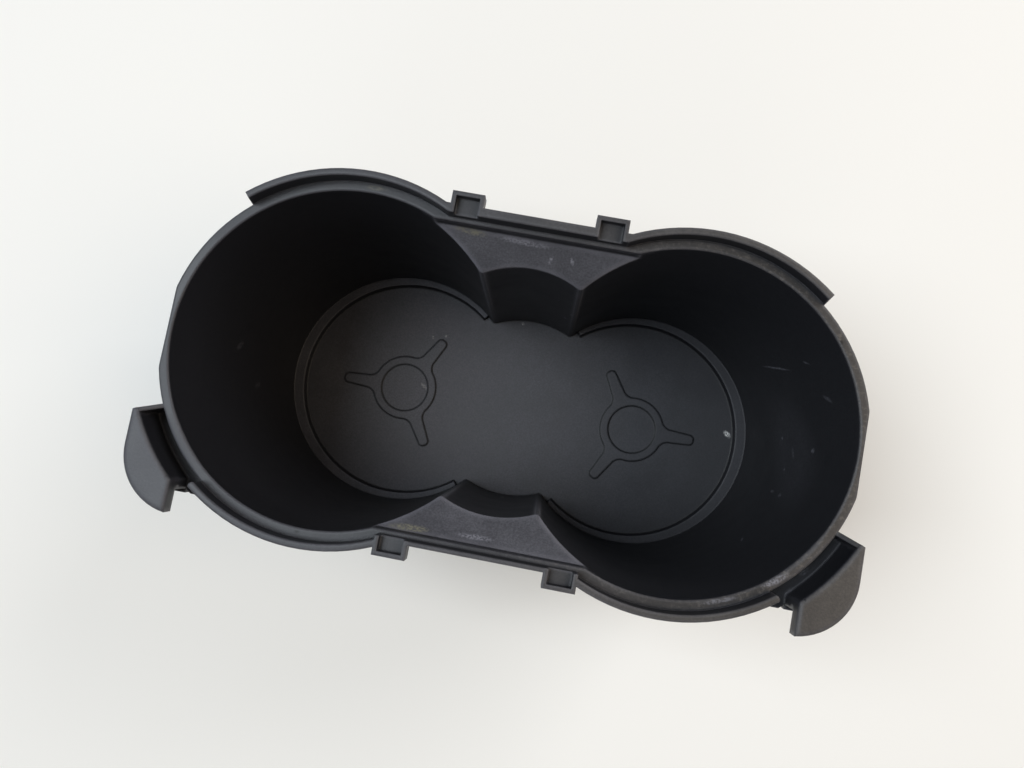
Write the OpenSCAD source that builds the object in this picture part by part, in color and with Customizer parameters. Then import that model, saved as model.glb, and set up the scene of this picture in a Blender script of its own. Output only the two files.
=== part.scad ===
// Double cup holder insert for a car console: one black injection moulding.
// Two drafted cups joined at a waist, sloping webs between them, a rim ledge with
// a raised outer lip, four clip pockets on the waist and two ears on the front side.
// X runs along the two cups, Y across them (front is -Y), Z is up.
// The origin is the centre of the underside. All sizes are in millimetres.

/* [Cups] */
// Inside diameter of each cup at the rim
cup_top_d = 79.9; // [72:0.1:90]
// How much narrower each cup is at the floor
cup_draft = 2; // [0:0.1:6]
// Distance between the axes of the two cups
cup_spacing = 81; // [76:0.5:90]
// Depth of the cups from the rim ledge to the floor
cup_depth = 90; // [50:1:120]
// Thickness of the floor
floor_t = 2.2; // [1.6:0.1:4]
// Thickness of the cup walls
wall = 2.1; // [1.4:0.1:3]
// Radius of the rounded edge around the underside
foot_round = 2; // [0.5:0.1:4]

/* [Middle] */
// How much smaller the radius of the webs' hollow faces is than that of the cups
mid_in = 9; // [7:0.1:13]
// How far the middle hollow lies towards the back
mid_shift = 0.4; // [0:0.1:2]
// How far the straight sides of the waist lie inside the widest part of the cups
waist_in = 3.3; // [2:0.1:6]
// Drop from the rim ledge to the outer edge of a web
web_step = 4.2; // [2:0.1:8]
// Slope of the top of a web in degrees
web_slope = 51; // [25:1:60]
// Radius of the upright corners where the webs' hollow faces meet the cups
web_corner_r = 1.5; // [0.6:0.1:3]

/* [Rim] */
// Width of the rim ledge around the cups
ledge_w = 2.4; // [1.5:0.1:3]
// Width of the rim ledge along the waist
waist_ledge_w = 1; // [0.6:0.1:2]
// Height of the lip above the rim ledge
lip_h = 4; // [1:0.1:8]
// Thickness of the lip around the cups
lip_w = 1.7; // [1.2:0.1:3]
// Thickness of the lip along the back of the waist
lip_back_w = 2.2; // [1:0.1:3]
// Thickness of the lip along the front of the waist
lip_front_w = 1.1; // [1:0.1:3]
// How far the lip reaches down outside the wall, below the rim ledge
lip_skirt = 5; // [2:0.5:12]
// Angle from the long axis at which the top of the back lip starts
lip_back_a = 50.5; // [35:0.1:70]
// Slope of the back lip's end faces from the upright
lip_end_slope = 8; // [0:1:20]
// Angle from the long axis at which the front lip starts
lip_front_a = 52.6; // [45:0.1:75]
// Radius of the rounded edges of the rim and the lip
edge_r = 0.45; // [0.2:0.05:0.5]
// Width of the rim ledge that is left at the flats on the two ends
end_ledge_w = 1.1; // [0.6:0.1:1.4]

/* [Clip pockets] */
// Length of each clip pocket along the waist, outside
pocket_l = 7.6; // [6:0.1:12]
// Distance from the middle to the centre of each back pocket
pocket_back_x = 16.9; // [12:0.1:18]
// Distance from the middle to the centre of each front pocket
pocket_front_x = 19.2; // [12:0.1:20]
// How far the back pockets stand out beyond the straight lip
pocket_back_out = 2.9; // [2:0.1:6]
// How far the front pockets stand out beyond the straight lip
pocket_front_out = 3.3; // [2:0.1:6]
// Thickness of the pocket walls
pocket_wall = 1; // [0.8:0.1:1.8]
// Depth of the pockets below the lip
pocket_depth = 2.2; // [0.8:0.1:3.5]
// Thickness of the pocket floor
pocket_floor_t = 1.6; // [1:0.1:3]

/* [Ears] */
// How far the outer side of an ear stands out beyond the inside of its cup, along X
ear_out = 3; // [0:0.1:10]
// Radius of the ear's outer corner
ear_corner_r = 14; // [6:0.1:16]
// How far the front end of an ear stands out beyond the inside of its cup, along Y
ear_ahead = 2; // [-2:0.1:6]
// Gap between the outside of the rim and the inner side of the ear
ear_gap = 3.8; // [1:0.1:5]
// Width of an ear along X, from its end face to its outer side
ear_w = 12.2; // [8:0.1:16]
// Radius of the corner between the inner side and the end face of an ear
ear_inner_r = 1.2; // [0.6:0.1:2]
// Angle from the long axis at which the ears start
ear_a = 25.2; // [20:0.1:32]
// Height of the side of the ear
ear_h = 3.6; // [3:0.1:10]
// Thickness of the ear's top and sides
ear_t = 1.8; // [1.2:0.1:3]
// Radius of the ear's rounded top edges
ear_round = 0.5; // [0.2:0.1:1.2]
// Depth of the channel behind the ear, below the rim ledge
channel_depth = 5; // [1:0.5:15]
// Thickness of the channel floor
channel_t = 2; // [1.2:0.1:3]
// How far the channel floor stops short of the front end of the ear
channel_short = 4.1; // [2:0.1:8]
// How far the channel floor reaches out under the ear, beyond the channel's side
channel_foot = 3.4; // [0:0.1:5]
// Thickness of the wall that closes the channel at its upper end
channel_end_t = 1; // [0.8:0.1:2]

/* [Floor details] */
// Height of the ledge around each cup floor
foot_ledge_h = 2; // [0.6:0.1:4]
// Width of the top of that ledge at the end of the holder
foot_ledge_w = 3.5; // [2:0.1:5]
// How far the ledge's inner side is set off from the cup's axis, towards the middle
foot_ledge_shift = 1.2; // [0:0.1:2]
// Width of the sloping inner side of that ledge
foot_ledge_slope = 0.5; // [0.2:0.1:3]
// Angle from the long axis at which that ledge ends
foot_ledge_a = 129; // [90:1:130]
// Height of the three-armed mark
mark_h = 0.5; // [0.2:0.1:1]
// Radius of the plain disc in the middle of the mark
mark_disc_r = 8.25; // [4:0.05:10]
// Outside radius of the mark's ring
mark_ring_r = 11; // [10.5:0.1:14]
// Reach of the mark's arms from its centre
mark_reach = 21.6; // [18:0.1:30]
// Width of an arm at its tip
mark_tip_w = 3.3; // [2:0.1:5]
// Width of an arm at its root
mark_root_w = 4.3; // [3:0.1:6]
// Radius between an arm and the ring
mark_fillet_r = 4; // [1:0.1:6]

/* [Hidden] */
$fn = 120;

half = cup_spacing / 2;
rim_z = floor_t + cup_depth;
lip_z = rim_z + lip_h;
skirt_z = rim_z - lip_skirt;
cup_r = cup_top_d / 2;
cup_floor_r = cup_r - cup_draft / 2;
mid_r = cup_r - mid_in;
rim_r = cup_r + ledge_w;
lip_r = rim_r + lip_w;
// the front lip's round end meets the lip's sides at 45 degrees
lip_end_r = lip_w / sqrt(2);
lip_mid_r = rim_r + lip_w / 2;
lip_front_end_a = lip_front_a + asin(lip_end_r / lip_mid_r);
// how fast the inside of a cup widens with height
draft = (cup_r - cup_floor_r) / cup_depth;
waist_half = cup_r - waist_in;
waist_y = waist_half + waist_ledge_w;
back_y = waist_y + lip_back_w;
front_y = waist_y + lip_front_w;
// how far the straight parts run into the round ones
join = 6;
// how far a cutting shape reaches past what it cuts
clear = 2;
// how far a fillet bites into what it joins, so that no two outlines only touch
bite = 0.05;
waist_x = half - sqrt(pow(rim_r, 2) - pow(back_y, 2)) + join;
web_z = rim_z - web_step;
web_in_y = mid_r - join;
web_in_z = web_z - (waist_half - web_in_y) * tan(web_slope);
web_t = wall / cos(web_slope);
ear_in_r = rim_r + ear_gap;
ear_z = lip_z;
ear_reach = cup_r + ear_out;
ear_front = cup_r + ear_ahead;
ear_end = ear_reach - ear_w;
channel_front = ear_front - channel_short;
ear_corner_x = ear_reach - ear_corner_r;
ear_corner_y = -ear_front + ear_corner_r;
ear_inner_x = ear_end + ear_inner_r - bite;
ear_inner_y = -sqrt(pow(ear_in_r + ear_inner_r - bite, 2) - pow(ear_inner_x, 2));
channel_out = ear_in_r + ear_t;
channel_z = rim_z - channel_depth;
// how far the channel's end wall runs into the rim
channel_root = ledge_w * 0.6;
far = 200;
eps = 0.01;

function arc(cx, cy, r, a0, a1, n = 5) =
    [for (i = [0 : n]) [cx + r * cos(a0 + (a1 - a0) * i / n), cy + r * sin(a0 + (a1 - a0) * i / n)]];

// One side of a solid from z0 up to z1 whose upper edge is rounded by e.
function rounded_side(s, z0, z1, e) = concat([[s, z0]], arc(s - e, z1 - e, e, 0, 90));

// One side of a hollow that opens at z1 with an edge rounded by e.
function flared_side(s, z0, z1, e) =
    concat([[s, z0]], arc(s + e, z1 - e, e, 180, 90), [[s + e, z1 + far]]);

function swap_side(pts) = [for (i = [len(pts) - 1 : -1 : 0]) [-pts[i][0], pts[i][1]]];

module both_cups() {
    for (m = [0, 1])
        mirror([m, 0, 0])
            translate([half, 0, 0])
                children();
}

// Turns a profile about the axis of each cup.
module turned(pts) {
    top = pts[len(pts) - 1][1];
    both_cups()
        rotate_extrude()
            polygon(concat([[0, pts[0][1]]], pts, [[0, top]]));
}

// Runs a profile straight along the waist, with its own side at the back and the front.
module along_waist(back_pts, front_pts, length) {
    rotate([90, 0, 90])
        translate([0, 0, -length])
            linear_extrude(2 * length)
                polygon(concat(back_pts, swap_side(front_pts)));
}

// Where a circle of radius a about the right cup's axis meets one of radius b about the
// middle hollow's, at the back where side is 1 and at the front where side is -1.
function meet(a, b, side) =
    let (d = norm([half, mid_shift]), m = (pow(d, 2) + pow(b, 2) - pow(a, 2)) / (2 * d),
        h = side * sqrt(pow(b, 2) - pow(m, 2)))
    [(m * half + h * mid_shift) / d, mid_shift + (h * half - m * mid_shift) / d];

// What a rounded corner of radius r takes away, with its centre at the origin. Its sides
// point to a and b, and its tip lies at the corner.
module corner_waste(a, b, tip, r) {
    difference() {
        polygon([[0, 0], r * a / norm(a), tip, r * b / norm(b)]);
        circle(r = r);
    }
}

// The outside of the cups: drafted walls with a rounded foot.
module cup_outsides() {
    foot_r = cup_floor_r + wall;
    turned(concat(
        arc(foot_r - foot_round, foot_round, foot_round, -90, 0),
        arc(rim_r - edge_r, rim_z - edge_r, edge_r, 0, 90)));
}

// The outside of the hollow between the cups, with the same rounded foot.
module middle_outside() {
    out_r = mid_r + wall;
    translate([0, mid_shift, 0])
        rotate_extrude()
            polygon(concat([[0, 0]],
                arc(out_r - foot_round, foot_round, foot_round, -90, 0),
                [[out_r, web_z], [0, web_z]]));
}

// The sloping webs and the straight walls of the waist, before they are hollowed.
module webs() {
    section = [
        [web_in_y, web_in_z - web_t],
        [waist_y, web_z - web_t + (waist_y - waist_half) * tan(web_slope)],
        [waist_y, rim_z],
        [web_in_y, rim_z]
    ];
    for (m = [0, 1])
        mirror([0, m, 0])
            rotate([90, 0, 90])
                translate([0, 0, -waist_x])
                    linear_extrude(2 * waist_x)
                        polygon(section);
}

// Everything that is hollow inside: two cups, the middle, and the waist above the webs.
module hollow() {
    low_side = [cup_floor_r, floor_t];
    turned(concat([low_side], arc(cup_r + edge_r, rim_z - edge_r, edge_r, 180, 90),
        [[cup_r + edge_r, rim_z + far]]));
    translate([0, mid_shift, floor_t])
        cylinder(r = mid_r, h = far);
    web_side = concat([[web_in_y, web_in_z], [waist_half, web_z]],
        arc(waist_half + edge_r, rim_z - edge_r, edge_r, 180, 90),
        [[waist_half + edge_r, rim_z + far]]);
    along_waist(web_side, web_side, waist_x);
}

// Rounds the upright corners between the middle hollow and the cups. Each cutting shape
// leans with the draft of the cup's wall.
module web_corners() {
    in_r = web_corner_r - bite;
    for (m = [0, 1], side = [-1, 1])
        mirror([m, 0, 0]) {
            low = meet(cup_floor_r + in_r, mid_r + in_r, side);
            lean = meet(cup_r + in_r, mid_r + in_r, side) - low;
            corner = meet(cup_floor_r, mid_r, side) - low;
            turn = atan2(lean[1], lean[0]);
            tilt = atan2(norm(lean), rim_z - edge_r - floor_t);
            intersection() {
                translate([low[0], low[1], floor_t])
                    rotate([0, tilt, turn])
                        rotate([0, 0, -turn])
                            translate([0, 0, -clear])
                                linear_extrude(rim_z)
                                    corner_waste([half, 0] - low, [0, mid_shift] - low,
                                        2 * corner, web_corner_r);
                translate([0, -far / 2, floor_t])
                    cube(far);
            }
        }
}

// The inner side of the lip: inside the wall below, and then along the ledge at s.
function lip_inner_side(wall_s, s) =
    concat([[wall_s, skirt_z - clear], [wall_s, rim_z - wall]],
        flared_side(s, rim_z - eps, lip_z, edge_r));

// The raised lip, which stops short of both ends of the holder.
module lip() {
    difference() {
        union() {
            turned(rounded_side(lip_r, skirt_z, lip_z, edge_r));
            along_waist(rounded_side(back_y, skirt_z, lip_z, edge_r),
                rounded_side(front_y, skirt_z, lip_z, edge_r), waist_x);
        }
        turned(lip_inner_side(cup_r + wall / 2, rim_r));
        along_waist(lip_inner_side(waist_half + eps, waist_y),
            lip_inner_side(waist_half + eps, waist_y), waist_x);
        both_cups()
            lip_gap();
    }
}

// The part of a cup's rim that has no lip. It leaves a round end at the front and a
// sloping one at the back.
module lip_gap() {
    intersection() {
        rotate([0, 0, -lip_front_end_a])
            difference() {
                translate([-far / 2, 0, 0])
                    cube(far);
                translate([lip_mid_r, 0, -clear])
                    cylinder(r = lip_end_r, h = far + 2 * clear);
            }
        rotate([0, 0, lip_back_a])
            translate([0, 0, lip_z])
                rotate([-lip_end_slope, 0, 0])
                    translate([-far / 2, -far, -far / 2])
                        cube(far);
    }
}

// One clip pocket: a small tray with three walls, open towards the rim ledge.
module pocket_block(x, out_y) {
    block_h = pocket_depth + pocket_floor_t;
    translate([x - pocket_l / 2, waist_y, lip_z - block_h])
        cube([pocket_l, out_y - waist_y, block_h]);
}

module pocket_hollow(x, out_y) {
    translate([x - pocket_l / 2 + pocket_wall, waist_y - edge_r - eps, lip_z - pocket_depth])
        cube([pocket_l - 2 * pocket_wall, out_y - pocket_wall - waist_y + edge_r,
            pocket_depth + clear]);
}

module each_pocket() {
    for (m = [0, 1])
        mirror([m, 0, 0])
            children();
}

// The plan of the right ear, drawn from its cup's axis and drawn in by d.
module ear_plan(d) {
    difference() {
        union() {
            translate([ear_corner_x, ear_corner_y])
                circle(r = ear_corner_r - d);
            translate([0, ear_corner_y])
                square([ear_reach - d, -ear_corner_y]);
        }
        circle(r = ear_in_r + d);
        translate([-far + ear_end + d, -far / 2])
            square([far, far]);
        if (d < ear_inner_r)
            translate([ear_inner_x, ear_inner_y])
                corner_waste([-ear_inner_x, -ear_inner_y], [-1, 0], [-clear, clear],
                    ear_inner_r - d);
        rotate(-ear_a)
            translate([0, -d])
                square([far, far]);
    }
}

// What lies outside the rounded top edge of a side at s, which faces away from the middle
// where facing is 1 and towards it where facing is -1.
function edge_cut(s, facing) =
    concat(arc(s - facing * ear_round, ear_z - ear_round, ear_round, 90 - facing * 90, 90),
        [[s - facing * ear_round, ear_z + clear], [s + facing * clear, ear_z + clear],
            [s + facing * clear, ear_z - ear_round]]);

// Rounds the top edges of the ear: its corner, its outer side, its inner side and its end.
module ear_edge_tools() {
    translate([ear_corner_x, ear_corner_y, 0])
        rotate([0, 0, -90])
            rotate_extrude(angle = 90)
                polygon(edge_cut(ear_corner_r, 1));
    rotate([90, 0, 0])
        linear_extrude(-ear_corner_y)
            polygon(edge_cut(ear_reach, 1));
    rotate([0, 0, -90])
        rotate_extrude(angle = 90)
            polygon(edge_cut(ear_in_r, -1));
    rotate([90, 0, 0])
        linear_extrude(ear_front + clear)
            polygon(edge_cut(ear_end, -1));
    translate([ear_inner_x, ear_inner_y, 0])
        rotate([0, 0, 90])
            rotate_extrude(angle = 90)
                polygon(edge_cut(ear_inner_r, 1));
}

// One ear: a shallow hollow wing, joined to the cup by a deep narrow channel.
module ear() {
    difference() {
        union() {
            difference() {
                translate([0, 0, ear_z - ear_h])
                    linear_extrude(ear_h)
                        ear_plan(0);
                translate([0, 0, ear_z - ear_h - clear])
                    linear_extrude(ear_h - ear_t + clear)
                        ear_plan(ear_t);
            }
            // the side of the channel under the wing's inner edge
            translate([0, 0, channel_z - channel_t])
                linear_extrude(ear_z - ear_t / 2 - channel_z + channel_t)
                    intersection() {
                        ear_plan(0);
                        circle(r = channel_out);
                    }
            // the floor of the channel
            translate([0, 0, channel_z - channel_t])
                linear_extrude(channel_t)
                    channel_plan();
            channel_end();
        }
        ear_edge_tools();
    }
}

// The plan of the channel floor, which reaches past the ear's end face and out under the ear.
module channel_plan() {
    intersection() {
        difference() {
            union() {
                circle(r = channel_out);
                intersection() {
                    circle(r = channel_out + channel_foot);
                    ear_plan(0);
                }
            }
            circle(r = rim_r - wall / 2);
            rotate(-ear_a)
                translate([-far, 0])
                    square([2 * far, far]);
        }
        translate([0, -channel_front])
            square([ear_reach, channel_front]);
    }
}

// The thin wall that closes the channel, which rises from the rim ledge to the ear.
module channel_end() {
    low_z = channel_z - channel_t;
    rotate([90, 0, -ear_a])
        linear_extrude(channel_end_t)
            polygon([[rim_r - channel_root, low_z], [ear_in_r + ear_t / 2, low_z],
                [ear_in_r + ear_t / 2, ear_z - ear_round], [ear_in_r, ear_z - ear_round],
                [rim_r, rim_z], [rim_r - channel_root, rim_z - channel_root]]);
}

// The ledge around the outer part of each cup floor.
module floor_ledges() {
    out_r = cup_floor_r + foot_ledge_h * draft;
    in_r = out_r - foot_ledge_w + foot_ledge_shift;
    spread = foot_ledge_slope / foot_ledge_h * clear;
    both_cups()
        difference() {
            translate([0, 0, floor_t - eps])
                rotate([0, 0, -foot_ledge_a])
                    rotate_extrude(angle = 2 * foot_ledge_a)
                        translate([in_r / 2, 0])
                            square([out_r + wall / 2 - in_r / 2, foot_ledge_h + eps]);
            translate([-foot_ledge_shift, 0, floor_t - clear])
                cylinder(r1 = in_r - foot_ledge_slope - spread, r2 = in_r + spread,
                    h = foot_ledge_h + 2 * clear);
        }
}

// The plan of the three-armed mark on a cup floor, with arms at 0 and 120 degrees each way.
module mark_plan() {
    root = mark_root_w / 2;
    tip = mark_tip_w / 2;
    fillet_y = root + mark_fillet_r - bite;
    fillet_x = sqrt(pow(mark_ring_r + mark_fillet_r - bite, 2) - pow(fillet_y, 2));
    difference() {
        union() {
            circle(r = mark_ring_r);
            for (a = [0, 120, 240])
                rotate(a) {
                    polygon([[0, -root], [fillet_x, -root], [mark_reach - tip / 2, -tip],
                        [mark_reach, -tip / 2], [mark_reach, tip / 2],
                        [mark_reach - tip / 2, tip], [fillet_x, root], [0, root]]);
                    for (m = [0, 1])
                        mirror([0, m])
                            difference() {
                                polygon([[0, 0], [fillet_x, 0], [fillet_x, fillet_y]]);
                                translate([fillet_x, fillet_y])
                                    circle(r = mark_fillet_r);
                            }
                }
        }
        circle(r = mark_disc_r);
    }
}

module floor_marks() {
    both_cups()
        translate([0, 0, floor_t - eps])
            linear_extrude(mark_h + eps)
                mark_plan();
}

// The flats at the two ends of the holder.
module end_flats() {
    flat_x = cup_r + end_ledge_w;
    flat_y = sqrt(pow(rim_r, 2) - pow(flat_x, 2)) + clear;
    both_cups()
        translate([flat_x, -flat_y, -clear])
            cube([ledge_w + clear, 2 * flat_y, rim_z + 2 * clear]);
}

module holder() {
    color([0.17, 0.17, 0.18])
        difference() {
            union() {
                difference() {
                    union() {
                        cup_outsides();
                        middle_outside();
                        webs();
                    }
                    hollow();
                    web_corners();
                }
                lip();
                each_pocket() {
                    pocket_block(pocket_back_x, back_y + pocket_back_out);
                    mirror([0, 1, 0])
                        pocket_block(pocket_front_x, front_y + pocket_front_out);
                }
                both_cups()
                    ear();
                floor_ledges();
                floor_marks();
            }
            each_pocket() {
                pocket_hollow(pocket_back_x, back_y + pocket_back_out);
                mirror([0, 1, 0])
                    pocket_hollow(pocket_front_x, front_y + pocket_front_out);
            }
            end_flats();
        }
}

holder();
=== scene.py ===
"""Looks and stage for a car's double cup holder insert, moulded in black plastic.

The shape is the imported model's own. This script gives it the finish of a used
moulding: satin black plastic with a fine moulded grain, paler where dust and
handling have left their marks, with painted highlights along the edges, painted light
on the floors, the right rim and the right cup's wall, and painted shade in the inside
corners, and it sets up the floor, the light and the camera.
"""

import bpy
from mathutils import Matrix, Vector

bl_info = {
    "name": "Car cup holder looks",
    "version": (1, 0, 0),
    "blender": (4, 5, 0),
    "location": "View3D > Sidebar > Cup holder",
    "description": "Finish, floor, light and camera for a moulded car cup holder",
    "category": "Object",
}

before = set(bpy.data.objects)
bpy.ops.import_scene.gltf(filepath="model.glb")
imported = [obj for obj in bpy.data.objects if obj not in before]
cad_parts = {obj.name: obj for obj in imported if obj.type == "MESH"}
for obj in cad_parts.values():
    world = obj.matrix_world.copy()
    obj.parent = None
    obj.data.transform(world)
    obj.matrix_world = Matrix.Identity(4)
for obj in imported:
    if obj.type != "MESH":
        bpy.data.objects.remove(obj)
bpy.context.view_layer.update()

HOLDER = "holder"
MM = 0.001

# Bands of height in metres, from where each starts to where it holds in full.
MARK_BAND = (0.0030, 0.0036)
FOOT_LEDGE_BAND = (0.0032, 0.0040)
WALL_BAND = (0.0045, 0.0060)
WEB_BAND = (0.050, 0.060)
RIM_BAND = (0.0905, 0.0920)
RIM_TOP_BAND = (0.0925, 0.0935)
LIP_TOP_BAND = (0.0945, 0.0958)

# Colours of the marks that aren't dust or grime: white for specks and a painted highlight, near
# black for nicks and for painted shade.
SPECK_AND_HIGHLIGHT_WHITE = (0.78, 0.77, 0.75)
NICK_AND_SHADE_BLACK = (0.003, 0.003, 0.004)

# The lamps: where each stands and its colour. All point at AIM.
AIM = (0, 0, 0.05)
LAMP_SIZE = 0.9
LAMPS = {
    "window": ((-0.75, 0, 1.46), (0.86, 0.94, 1.0)),
    "room": ((1.03, 0, 1.28), (1.0, 0.82, 0.62)),
    "back": ((0.98, 0.98, 0.85), (1.0, 1.0, 1.0)),
    "front": ((0, -1.56, 0.38), (1.0, 1.0, 1.0)),
}
SKY_COLOUR = (0.93, 0.97, 1.0)

# The camera, fitted to the rims and floors of the cups in the photograph.
CAMERA_PLACE = (0.008543, -0.011434, 0.262155)
CAMERA_TURN = (0.08210741, 0.03137594, 0.18507926)
CAMERA_SENSOR = 36.0
CAMERA_NEAR = 0.01

# Marks of use, with a few painted highlights and patches of painted light, in millimetres: where
# each starts and ends, its half width and its strength.
PALE_MARKS = (
    # Scratches, rubs and specks on the wall of the right cup, and a broad faint patch of painted
    # light.
    ((71.2, 24.6, 36.5), (73.9, 21.2, 59.9), 0.47, 0.64),
    ((73.1, 22.6, 68.3), (73.7, 21.8, 71.3), 0.47, 0.46),
    ((77.7, 14.0, 73.4), (78.3, 12.3, 78.0), 0.74, 0.34),
    ((80.0, 1.3, 50.0), (79.9, -2.1, 52.5), 1.08, 0.30),
    ((80.1, 0.4, 65.0), (80.1, 0.4, 65.8), 0.94, 0.64),
    ((79.7, 3.9, 41.0), (79.7, 3.9, 41.6), 0.68, 0.64),
    ((79.6, -5.1, 47.0), (79.6, -5.1, 47.5), 0.61, 0.64),
    ((78.0, -12.0, 43.5), (78.0, -12.0, 46.0), 0.68, 0.34),
    ((77.9, -12.6, 51.5), (77.9, -12.6, 52.5), 0.94, 0.34),
    ((70.2, -25.9, 50.5), (69.2, -27.0, 52.8), 0.54, 0.46),
    # Painted light: a broad faint patch where the left lamp falls on the right cup's wall.
    ((78.0, 8.0, 40.0), (79.0, -8.0, 62.0), 15.0, 0.09),
    # Smudges on the wall of the left cup.
    ((-80.0, 2.0, 52.0), (-79.9, 0.0, 55.0), 1.22, 0.21),
    ((-78.8, -8.6, 36.0), (-78.7, -9.6, 39.0), 1.22, 0.18),
    # Ticks on the back web's slope, and specks at its right corner, one of them a painted
    # highlight on the corner edge.
    ((3.8, 32.7, 83.2), (4.3, 34.2, 84.9), 0.61, 0.95),
    ((9.0, 34.4, 85.2), (9.6, 33.4, 83.9), 0.61, 0.95),
    ((10.5, 29.5, 30.4), (10.5, 29.5, 31.6), 0.61, 0.85),
    ((7.2, 30.5, 52.0), (7.6, 30.4, 52.6), 0.54, 0.46),
    ((12.2, 28.8, 41.0), (12.2, 28.8, 42.5), 0.81, 0.53),
    # Dust caught along the tops of both slopes.
    ((-11.0, 36.2, 87.5), (4.0, 35.7, 86.9), 1.2, 0.85),
    ((-6.0, -35.4, 86.4), (3.0, -35.2, 86.2), 1.1, 0.80),
    # Smudges in the right ear's channel and rubs on the rim beside it.
    ((72.6, -33.2, 87.2), (71.2, -34.4, 87.2), 1.08, 0.21),
    ((73.9, -29.2, 87.2), (74.9, -28.0, 87.2), 0.94, 0.21),
    ((69.3, -29.3, 92.2), (63.9, -33.4, 92.2), 0.94, 0.74),
    ((59.4, -36.4, 92.2), (50.8, -39.6, 92.2), 0.68, 0.53),
)
DARK_MARKS = (
    ((73.0, 24.6, 92.2), (73.2, 24.4, 92.2), 0.5, 1.0),
    ((-41.7, -40.9, 92.2), (-41.3, -40.9, 92.2), 0.6, 1.0),
)
WHITE_MARKS = (
    # Specks on the floors and at the foot of the middle walls, and a painted highlight on the
    # ring of the left mark.
    ((72.6, 4.9, 2.2), (73.9, 3.9, 2.2), 1.1, 0.75),
    ((-34.2, 19.5, 2.2), (-34.0, 19.3, 2.2), 0.6, 0.25),
    ((-29.7, 20.7, 2.2), (-29.5, 20.5, 2.2), 0.5, 0.22),
    ((-34.9, 2.4, 2.2), (-32.9, 1.0, 2.2), 0.8, 0.18),
    ((-3.6, 29.9, 2.3), (-3.3, 29.6, 2.3), 0.7, 0.35),
    ((0.8, -30.4, 12.0), (0.9, -30.4, 17.0), 0.6, 0.22),
    ((-74.5, 2.6, 4.2), (-74.5, 1.8, 4.2), 0.6, 0.20),
)
BROWN_MARKS = (
    ((-41.5, 41.2, 92.2), (-37.0, 41.4, 92.2), 0.8, 0.22),
    ((-20.0, 36.5, 87.9), (-12.5, 36.1, 87.3), 1.4, 0.55),
    ((-21.5, -36.1, 87.4), (-12.5, -35.7, 86.9), 1.5, 0.55),
)


class HolderFinish(bpy.types.PropertyGroup):
    """Colours and surface of the moulding."""

    plastic: bpy.props.FloatVectorProperty(
        name="Plastic",
        description="Colour of the clean black plastic",
        subtype="COLOR",
        size=3,
        min=0.0,
        max=1.0,
        default=(0.0115, 0.0118, 0.0152),
    )
    # The dust colour also serves the painted highlights along the edges and the painted patches
    # of light among the marks.
    dust: bpy.props.FloatVectorProperty(
        name="Dust",
        description="Colour of the dust and rub marks on the upward faces",
        subtype="COLOR",
        size=3,
        min=0.0,
        max=1.0,
        default=(0.222, 0.220, 0.255),
    )
    # The rim dust's warmth is a painted warm light from the room lamp on the right, over the
    # dust.
    rim_dust_and_warm_light: bpy.props.FloatVectorProperty(
        name="Rim dust",
        description="Colour of the warmer dust on the right rim and ear",
        subtype="COLOR",
        size=3,
        min=0.0,
        max=1.0,
        default=(0.270, 0.235, 0.200),
    )
    grime: bpy.props.FloatVectorProperty(
        name="Grime",
        description="Colour of the yellowish grime in the corners",
        subtype="COLOR",
        size=3,
        min=0.0,
        max=1.0,
        default=(0.27, 0.255, 0.165),
    )
    roughness: bpy.props.FloatProperty(
        name="Roughness",
        description="Roughness of the clean satin surface",
        min=0.2,
        max=0.9,
        default=0.48,
    )
    rim_roughness: bpy.props.FloatProperty(
        name="Rim roughness",
        description="Roughness of the rim, lips and ears, which are smoother from handling",
        min=0.2,
        max=0.9,
        default=0.41,
    )
    # The crevice distance sets how far painted shade reaches from an inside corner: there dust
    # and painted edge highlights are held back and the plastic shows dark.
    crevice: bpy.props.FloatProperty(
        name="Crevice",
        description="How far from an inside corner the plastic stays clean and dark",
        subtype="DISTANCE",
        unit="LENGTH",
        min=0.0,
        max=0.01,
        default=0.0015,
    )
    grain_size: bpy.props.FloatProperty(
        name="Grain size",
        description="Size of the moulded grain",
        subtype="DISTANCE",
        unit="LENGTH",
        min=0.0001,
        max=0.002,
        default=0.00045,
    )
    grain_depth: bpy.props.FloatProperty(
        name="Grain depth",
        description="Depth of the moulded grain",
        subtype="DISTANCE",
        unit="LENGTH",
        min=0.0,
        max=0.0002,
        default=0.00003,
    )
    edge_radius: bpy.props.FloatProperty(
        name="Edge radius",
        description="Radius that the moulding's small edges shine with",
        subtype="DISTANCE",
        unit="LENGTH",
        min=0.0,
        max=0.002,
        default=0.0008,
    )
    web_edge_radius: bpy.props.FloatProperty(
        name="Web edge radius",
        description="Radius that the softer edges of the webs between the cups shine with",
        subtype="DISTANCE",
        unit="LENGTH",
        min=0.0,
        max=0.004,
        default=0.0025,
    )


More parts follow.
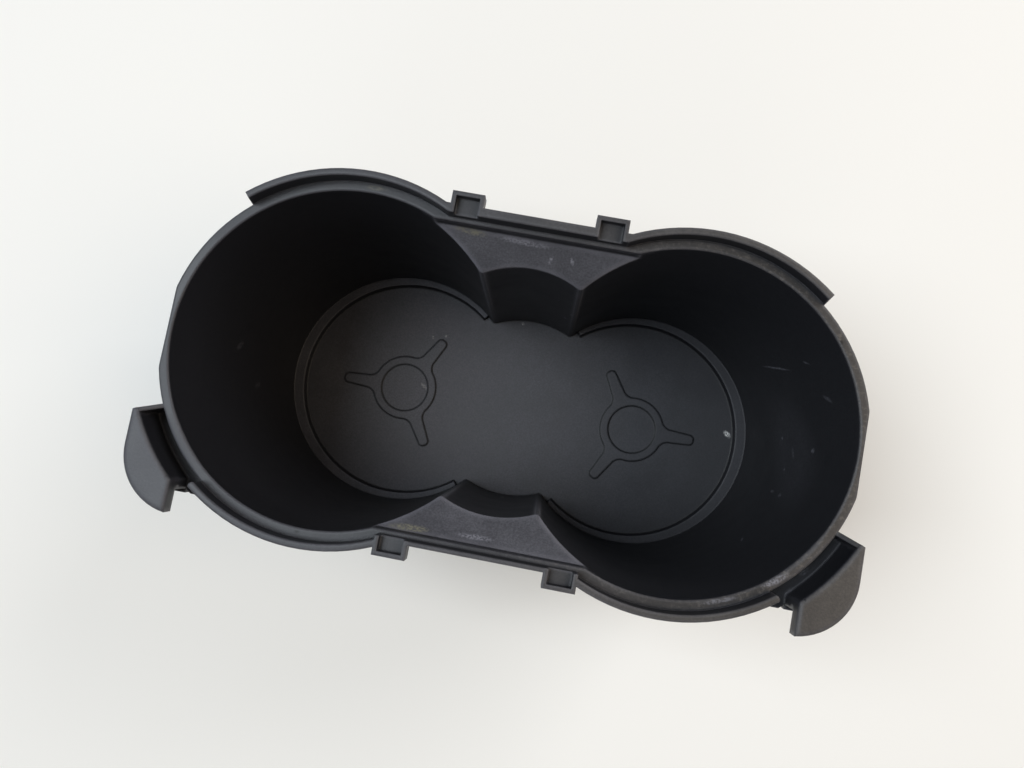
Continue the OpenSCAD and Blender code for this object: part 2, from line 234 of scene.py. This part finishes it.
class StageSettings(bpy.types.PropertyGroup):
    """The floor, the lamps and the camera."""

    floor_colour: bpy.props.FloatVectorProperty(
        name="Floor",
        description="Colour of the pale surface under the holder",
        subtype="COLOR",
        size=3,
        min=0.0,
        max=1.0,
        default=(0.925, 0.900, 0.865),
    )
    floor_size: bpy.props.FloatProperty(
        name="Floor size",
        description="Width of the floor",
        subtype="DISTANCE",
        unit="LENGTH",
        min=1.0,
        max=20.0,
        default=8.0,
    )
    sky: bpy.props.FloatProperty(
        name="Sky light",
        description="Strength of the even light from all round",
        min=0.0,
        max=2.0,
        default=0.15,
    )
    window_power: bpy.props.FloatProperty(
        name="Window lamp",
        description="Power of the large cool lamp on the left",
        subtype="POWER",
        min=0.0,
        max=200.0,
        default=17.8,
    )
    room_power: bpy.props.FloatProperty(
        name="Room lamp",
        description="Power of the large warm lamp on the right",
        subtype="POWER",
        min=0.0,
        max=200.0,
        default=6.8,
    )
    back_power: bpy.props.FloatProperty(
        name="Back lamp",
        description="Power of the lamp at the far right",
        subtype="POWER",
        min=0.0,
        max=200.0,
        default=10.5,
    )
    front_power: bpy.props.FloatProperty(
        name="Front lamp",
        description="Power of the low lamp in front",
        subtype="POWER",
        min=0.0,
        max=200.0,
        default=3.5,
    )
    lens: bpy.props.FloatProperty(
        name="Lens",
        description="Focal length of the camera, in millimetres",
        min=10.0,
        max=200.0,
        default=26.02,
    )


def deselect_all():
    """Nothing selected and nothing active, in object mode."""
    if bpy.context.object and bpy.context.object.mode != "OBJECT":
        bpy.ops.object.mode_set(mode="OBJECT")
    bpy.ops.object.select_all(action="DESELECT")
    bpy.context.view_layer.objects.active = None


class NodeSketch:
    """Adds shader nodes one by one to a material."""

    def __init__(self, name):
        self.material = bpy.data.materials.new(name)
        self.material.use_nodes = True
        self.tree = self.material.node_tree
        self.tree.nodes.clear()
        self.out = self.add("ShaderNodeOutputMaterial")

    def add(self, kind, label="", **settings):
        node = self.tree.nodes.new(kind)
        node.label = label
        for name, value in settings.items():
            setattr(node, name, value)
        return node

    def link(self, a, b):
        self.tree.links.new(a, b)

    def feed(self, socket, value):
        if isinstance(value, bpy.types.NodeSocket):
            self.link(value, socket)
        else:
            socket.default_value = value

    def maths(self, operation, a, b=0.0):
        node = self.add("ShaderNodeMath", operation=operation)
        self.feed(node.inputs[0], a)
        self.feed(node.inputs[1], b)
        return node.outputs[0]

    def noise(self, place, size, detail=3.0, rough=0.5, label=""):
        """Noise whose features are about size metres wide."""
        node = self.add("ShaderNodeTexNoise", label=label)
        self.link(place, node.inputs["Vector"])
        node.inputs["Scale"].default_value = 1.0 / size
        node.inputs["Detail"].default_value = detail
        node.inputs["Roughness"].default_value = rough
        return node.outputs["Fac"]

    def ramp(self, value, low, high, to_low=0.0, to_high=1.0):
        """A smooth step from to_low at low to to_high at high."""
        node = self.add("ShaderNodeMapRange", interpolation_type="SMOOTHSTEP", clamp=True)
        self.feed(node.inputs["Value"], value)
        node.inputs["From Min"].default_value = low
        node.inputs["From Max"].default_value = high
        node.inputs["To Min"].default_value = to_low
        node.inputs["To Max"].default_value = to_high
        return node.outputs["Result"]

    def product(self, *values):
        result = values[0]
        for value in values[1:]:
            result = self.maths("MULTIPLY", result, value)
        return result

    def total(self, *values):
        result = values[0]
        for value in values[1:]:
            result = self.maths("ADD", result, value)
        return result

    def mark(self, place, start, end, width):
        """A soft streak from start to end, in millimetres."""
        first, last = Vector(start) * MM, Vector(end) * MM
        along = last - first
        shape = self.add("ShaderNodeMapping", vector_type="TEXTURE")
        self.link(place, shape.inputs["Vector"])
        shape.inputs["Location"].default_value = (first + last) / 2
        shape.inputs["Rotation"].default_value = along.to_track_quat("X", "Z").to_euler()
        half = width * MM
        shape.inputs["Scale"].default_value = (along.length / 2 + half, half, half)
        reach = self.add("ShaderNodeVectorMath", operation="LENGTH")
        self.link(shape.outputs[0], reach.inputs[0])
        return self.ramp(reach.outputs["Value"], 1.0, 0.35)

    def marks(self, place, table):
        """The strongest of all the marks in the table."""
        result = 0.0
        for start, end, width, strength in table:
            share = self.maths("MULTIPLY", self.mark(place, start, end, width), strength)
            result = self.maths("MAXIMUM", result, share)
        return result

    def waver(self, place, size, amount):
        """The place, shifted a little by noise so that outlines aren't exact."""
        node = self.add("ShaderNodeTexNoise", label="waver")
        self.link(place, node.inputs["Vector"])
        node.inputs["Scale"].default_value = 1.0 / size
        node.inputs["Detail"].default_value = 2.0
        centred = self.add("ShaderNodeVectorMath", operation="SUBTRACT")
        self.link(node.outputs["Color"], centred.inputs[0])
        centred.inputs[1].default_value = (0.5, 0.5, 0.5)
        shifted = self.add("ShaderNodeVectorMath", operation="MULTIPLY_ADD")
        self.link(centred.outputs[0], shifted.inputs[0])
        shifted.inputs[1].default_value = (amount, amount, amount)
        self.link(place, shifted.inputs[2])
        return shifted.outputs[0]

    def mix(self, share, a, b):
        node = self.add("ShaderNodeMix", data_type="RGBA")
        self.feed(node.inputs["Factor"], share)
        self.feed(node.inputs["A"], a if isinstance(a, bpy.types.NodeSocket) else (*a, 1.0))
        self.feed(node.inputs["B"], b if isinstance(b, bpy.types.NodeSocket) else (*b, 1.0))
        return node.outputs["Result"]


def black_plastic(finish):
    """Satin black plastic with moulded grain, dust where it settles, marks of use, and painted
    highlights, light and shade.
    """
    sketch = NodeSketch("worn_black_plastic_with_painted_light")
    coords = sketch.add("ShaderNodeTexCoord")
    place = coords.outputs["Object"]
    split = sketch.add("ShaderNodeSeparateXYZ")
    sketch.link(place, split.inputs[0])
    height = split.outputs["Z"]
    across = sketch.maths("ABSOLUTE", split.outputs["X"])
    facing = sketch.add("ShaderNodeSeparateXYZ")
    sketch.link(coords.outputs["Normal"], facing.inputs[0])
    upward = sketch.ramp(facing.outputs["Z"], 0.25, 0.6)

    grain = sketch.noise(place, finish.grain_size, 2.0, 0.6, "moulded grain")
    patches = sketch.noise(place, 0.014, 4.0, 0.6, "handling patches")
    flecks = sketch.noise(place, 0.0005, 3.0, 0.7, "dust flecks")

    # Painted shade in the inside corners: near them the dust and the painted edge highlights fade
    # out.
    hollow = sketch.add("ShaderNodeAmbientOcclusion", samples=8, only_local=True)
    hollow.inputs["Distance"].default_value = finish.crevice
    open_share = sketch.ramp(hollow.outputs["AO"], 0.35, 0.85)

    # Where on the holder a place is.
    middle = sketch.ramp(across, 0.027, 0.030, 1.0, 0.0)
    right_side = sketch.ramp(split.outputs["X"], -0.06, 0.08)
    from_rim = sketch.ramp(height, *RIM_BAND)
    below_rim = sketch.ramp(height, *RIM_BAND, 1.0, 0.0)
    below_walls = sketch.ramp(height, *WALL_BAND, 1.0, 0.0)

    # How much dust lies on the floors, the foot ledges, the webs, the rim, and the lips and ears.
    # On the floors it is also painted light: a pool of light heaviest in the middle and towards
    # the left, where the floors catch most of the lamps.
    floor_dust_and_glow = sketch.product(
        sketch.ramp(split.outputs["X"], -0.050, 0.040, 1.52, 0.64),
        sketch.ramp(across, 0.025, 0.080, 0.20, 0.07),
        below_walls,
    )
    on_foot_ledges = sketch.product(
        sketch.ramp(height, *FOOT_LEDGE_BAND, 0.0, 0.04),
        below_walls,
    )
    on_webs = sketch.product(middle, below_rim, sketch.ramp(height, *WEB_BAND, 0.0, 0.32))
    on_rim = sketch.product(sketch.ramp(right_side, 0.0, 1.0, 0.07, 0.10), from_rim)
    scratches = sketch.noise(place, 0.0012, 4.0, 0.8, "rim scratches")
    in_scratches = sketch.product(
        right_side,
        from_rim,
        sketch.ramp(height, *RIM_TOP_BAND, 1.0, 0.0),
        sketch.ramp(scratches, 0.50, 0.64, 0.0, 0.18),
    )
    on_tops = sketch.ramp(height, *LIP_TOP_BAND, 0.0, 0.06)
    # The dust share carries the painted pool of light on the floors as well as the dust.
    dust = sketch.product(
        upward,
        open_share,
        sketch.total(floor_dust_and_glow, on_foot_ledges, on_webs, on_rim, in_scratches, on_tops),
        sketch.ramp(patches, 0.3, 0.7, 0.8, 1.2),
        sketch.ramp(flecks, 0.3, 0.75, 0.7, 1.35),
    )

    # Marks of use, with a few painted highlights and patches of painted light among them, with
    # wavering outlines and broken up by the flecks.
    wavering = sketch.waver(place, 0.0015, 0.0006)
    broken = sketch.ramp(flecks, 0.42, 0.56, 0.15, 1.0)
    pale = sketch.maths("MULTIPLY", sketch.marks(wavering, PALE_MARKS), broken)
    white = sketch.maths("MULTIPLY", sketch.marks(wavering, WHITE_MARKS), broken)
    brown = sketch.maths("MULTIPLY", sketch.marks(wavering, BROWN_MARKS), broken)
    dark = sketch.marks(wavering, DARK_MARKS)

    # The rounded normal departs from the flat one along the edges. There the colour is lightened
    # as a painted highlight on the rounded edges, strongest on the webs.
    bevel = sketch.add("ShaderNodeBevel", samples=6)
    near_web = sketch.product(middle, below_rim, sketch.ramp(height, 0.0040, 0.0100))
    near_ear = sketch.product(
        sketch.ramp(across, 0.066, 0.069),
        sketch.ramp(split.outputs["Y"], -0.018, -0.022),
        sketch.ramp(height, 0.0905, 0.0915),
    )
    soft = sketch.maths("ADD", near_web, sketch.maths("MULTIPLY", near_ear, 0.5))
    radius = sketch.ramp(soft, 0.0, 1.0, finish.edge_radius, finish.web_edge_radius)
    sketch.link(radius, bevel.inputs["Radius"])
    flat = sketch.add("ShaderNodeNewGeometry")
    turn = sketch.add("ShaderNodeVectorMath", operation="DOT_PRODUCT")
    sketch.link(bevel.outputs["Normal"], turn.inputs[0])
    sketch.link(flat.outputs["Normal"], turn.inputs[1])
    # Painted shade: along the sloped outlines of the floor marks the colour goes near black.
    outlines = sketch.product(
        sketch.ramp(turn.outputs["Value"], 0.9995, 0.98),
        sketch.ramp(height, *MARK_BAND, 0.9, 0.0),
    )
    edge_highlight = sketch.product(
        sketch.ramp(turn.outputs["Value"], 0.9995, 0.975),
        sketch.ramp(near_web, 0.0, 1.0, 0.22, 0.95),
        sketch.ramp(height, 0.0036, 0.0600, 0.12, 1.0),
        open_share,
        sketch.ramp(patches, 0.3, 0.7, 0.55, 1.0),
    )

    # The layers of colour, from the clean plastic up.
    # Painted warm light: on the right rim and ear the dust takes the warmer colour of the room
    # lamp's light.
    warm = sketch.product(right_side, from_rim)
    dust_and_warm_light_colour = sketch.mix(warm, tuple(finish.dust), tuple(finish.rim_dust_and_warm_light))
    colour = sketch.mix(dust, tuple(finish.plastic), dust_and_warm_light_colour)
    # Painted highlight along the edges, in the dust colour.
    colour = sketch.mix(edge_highlight, colour, tuple(finish.dust))
    colour = sketch.mix(pale, colour, tuple(finish.dust))
    colour = sketch.mix(brown, colour, tuple(finish.grime))
    colour = sketch.mix(white, colour, SPECK_AND_HIGHLIGHT_WHITE)
    # Nicks, and the painted shade along the floor marks' outlines, in near black.
    colour = sketch.mix(sketch.maths("MAXIMUM", dark, outlines), colour, NICK_AND_SHADE_BLACK)
    rough = sketch.total(
        sketch.ramp(height, 0.0890, 0.0920, finish.roughness, finish.rim_roughness),
        sketch.maths("MULTIPLY", dust, 0.4),
        sketch.ramp(patches, 0.2, 0.8, -0.03, 0.05),
    )

    bump = sketch.add("ShaderNodeBump")
    bump.inputs["Strength"].default_value = 1.0
    bump.inputs["Distance"].default_value = finish.grain_depth
    sketch.link(grain, bump.inputs["Height"])
    sketch.link(bevel.outputs["Normal"], bump.inputs["Normal"])

    shader = sketch.add("ShaderNodeBsdfPrincipled")
    sketch.link(colour, shader.inputs["Base Color"])
    sketch.link(rough, shader.inputs["Roughness"])
    sketch.link(bump.outputs["Normal"], shader.inputs["Normal"])
    shader.inputs["Specular IOR Level"].default_value = 0.5
    sketch.link(shader.outputs["BSDF"], sketch.out.inputs["Surface"])
    return sketch.material


def pale_floor(stage):
    """The plain pale surface the holder stands on."""
    sketch = NodeSketch("pale_floor")
    shader = sketch.add("ShaderNodeBsdfPrincipled")
    shader.inputs["Base Color"].default_value = (*stage.floor_colour, 1.0)
    shader.inputs["Roughness"].default_value = 0.9
    shader.inputs["Specular IOR Level"].default_value = 0.1
    sketch.link(shader.outputs["BSDF"], sketch.out.inputs["Surface"])
    return sketch.material


def area_lamp(name, power):
    """One of the square lamps, turned to the holder."""
    place, colour = LAMPS[name]
    bpy.ops.object.light_add(type="AREA", location=place)
    lamp = bpy.context.object
    lamp.name = name
    lamp.data.shape = "SQUARE"
    lamp.data.size = LAMP_SIZE
    lamp.data.energy = power
    lamp.data.color = colour
    aim = Vector(AIM) - Vector(place)
    lamp.rotation_euler = aim.to_track_quat("-Z", "Y").to_euler()


class HOLDER_OT_finish(bpy.types.Operator):
    """Give the moulding its satin black plastic."""

    bl_idname = "cup_holder.finish"
    bl_label = "Finish the holder"

    def execute(self, context):
        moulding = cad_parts[HOLDER]
        plastic = black_plastic(context.scene.holder_finish)
        moulding.data.materials.clear()
        moulding.data.materials.append(plastic)
        return {"FINISHED"}


class HOLDER_OT_stage(bpy.types.Operator):
    """Set up the floor, the lamps and the camera."""

    bl_idname = "cup_holder.stage"
    bl_label = "Set the stage"

    def execute(self, context):
        stage = context.scene.holder_stage
        deselect_all()
        bpy.ops.mesh.primitive_plane_add(size=stage.floor_size, location=(0, 0, 0))
        floor = context.object
        floor.name = "floor"
        floor.data.materials.append(pale_floor(stage))

        area_lamp("window", stage.window_power)
        area_lamp("room", stage.room_power)
        area_lamp("back", stage.back_power)
        area_lamp("front", stage.front_power)

        world = bpy.data.worlds.new("even_light")
        world.use_nodes = True
        background = world.node_tree.nodes["Background"]
        background.inputs["Color"].default_value = (*SKY_COLOUR, 1.0)
        background.inputs["Strength"].default_value = stage.sky
        context.scene.world = world

        bpy.ops.object.camera_add(location=CAMERA_PLACE)
        camera = context.object
        camera.name = "camera"
        camera.rotation_euler = CAMERA_TURN
        camera.data.lens = stage.lens
        camera.data.sensor_width = CAMERA_SENSOR
        camera.data.clip_start = CAMERA_NEAR
        context.scene.camera = camera
        context.scene.view_settings.view_transform = "Standard"
        return {"FINISHED"}


class HOLDER_PT_panel(bpy.types.Panel):
    """The holder's finish and stage."""

    bl_label = "Cup holder"
    bl_idname = "HOLDER_PT_panel"
    bl_space_type = "VIEW_3D"
    bl_region_type = "UI"
    bl_category = "Cup holder"

    def draw(self, context):
        finish = context.scene.holder_finish
        for name in HolderFinish.__annotations__:
            self.layout.prop(finish, name)
        self.layout.operator(HOLDER_OT_finish.bl_idname)
        stage = context.scene.holder_stage
        for name in StageSettings.__annotations__:
            self.layout.prop(stage, name)
        self.layout.operator(HOLDER_OT_stage.bl_idname)


CLASSES = (HolderFinish, StageSettings, HOLDER_OT_finish, HOLDER_OT_stage, HOLDER_PT_panel)


def register():
    for cls in CLASSES:
        bpy.utils.register_class(cls)
    bpy.types.Scene.holder_finish = bpy.props.PointerProperty(type=HolderFinish)
    bpy.types.Scene.holder_stage = bpy.props.PointerProperty(type=StageSettings)


def unregister():
    del bpy.types.Scene.holder_stage
    del bpy.types.Scene.holder_finish
    for cls in reversed(CLASSES):
        bpy.utils.unregister_class(cls)


def main():
    register()
    bpy.ops.cup_holder.finish()
    bpy.ops.cup_holder.stage()


if __name__ == "__main__":
    main()
